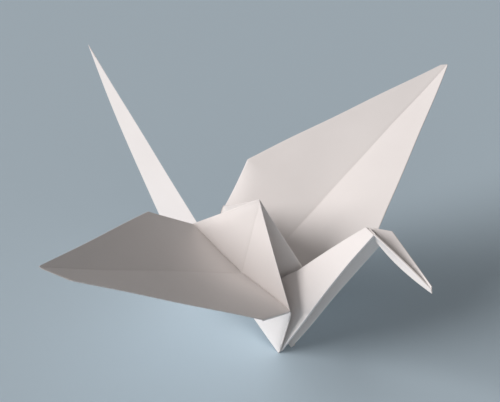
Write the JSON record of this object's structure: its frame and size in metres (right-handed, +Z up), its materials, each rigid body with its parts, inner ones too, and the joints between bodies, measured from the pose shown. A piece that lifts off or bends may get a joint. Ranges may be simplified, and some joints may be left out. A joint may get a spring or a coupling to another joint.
{
  "type": "origami crane",
  "caption": "Folded paper crane with spread wings, a pointed raised tail, a slim neck with a bent beak and a narrow peaked body open below.",
  "frame": {"origin": "on the table, under the middle of the body between the four belly corners that it stands on", "axes": "+X towards the head, +Y towards the crane's left wing tip, +Z up"},
  "size_m": [0.1147, 0.1235, 0.051],
  "materials": {
    "white_paper": "matte"
  },
  "bodies": {
    "root": {"crane_sheet": "white_paper"}
  },
  "joints": []
}
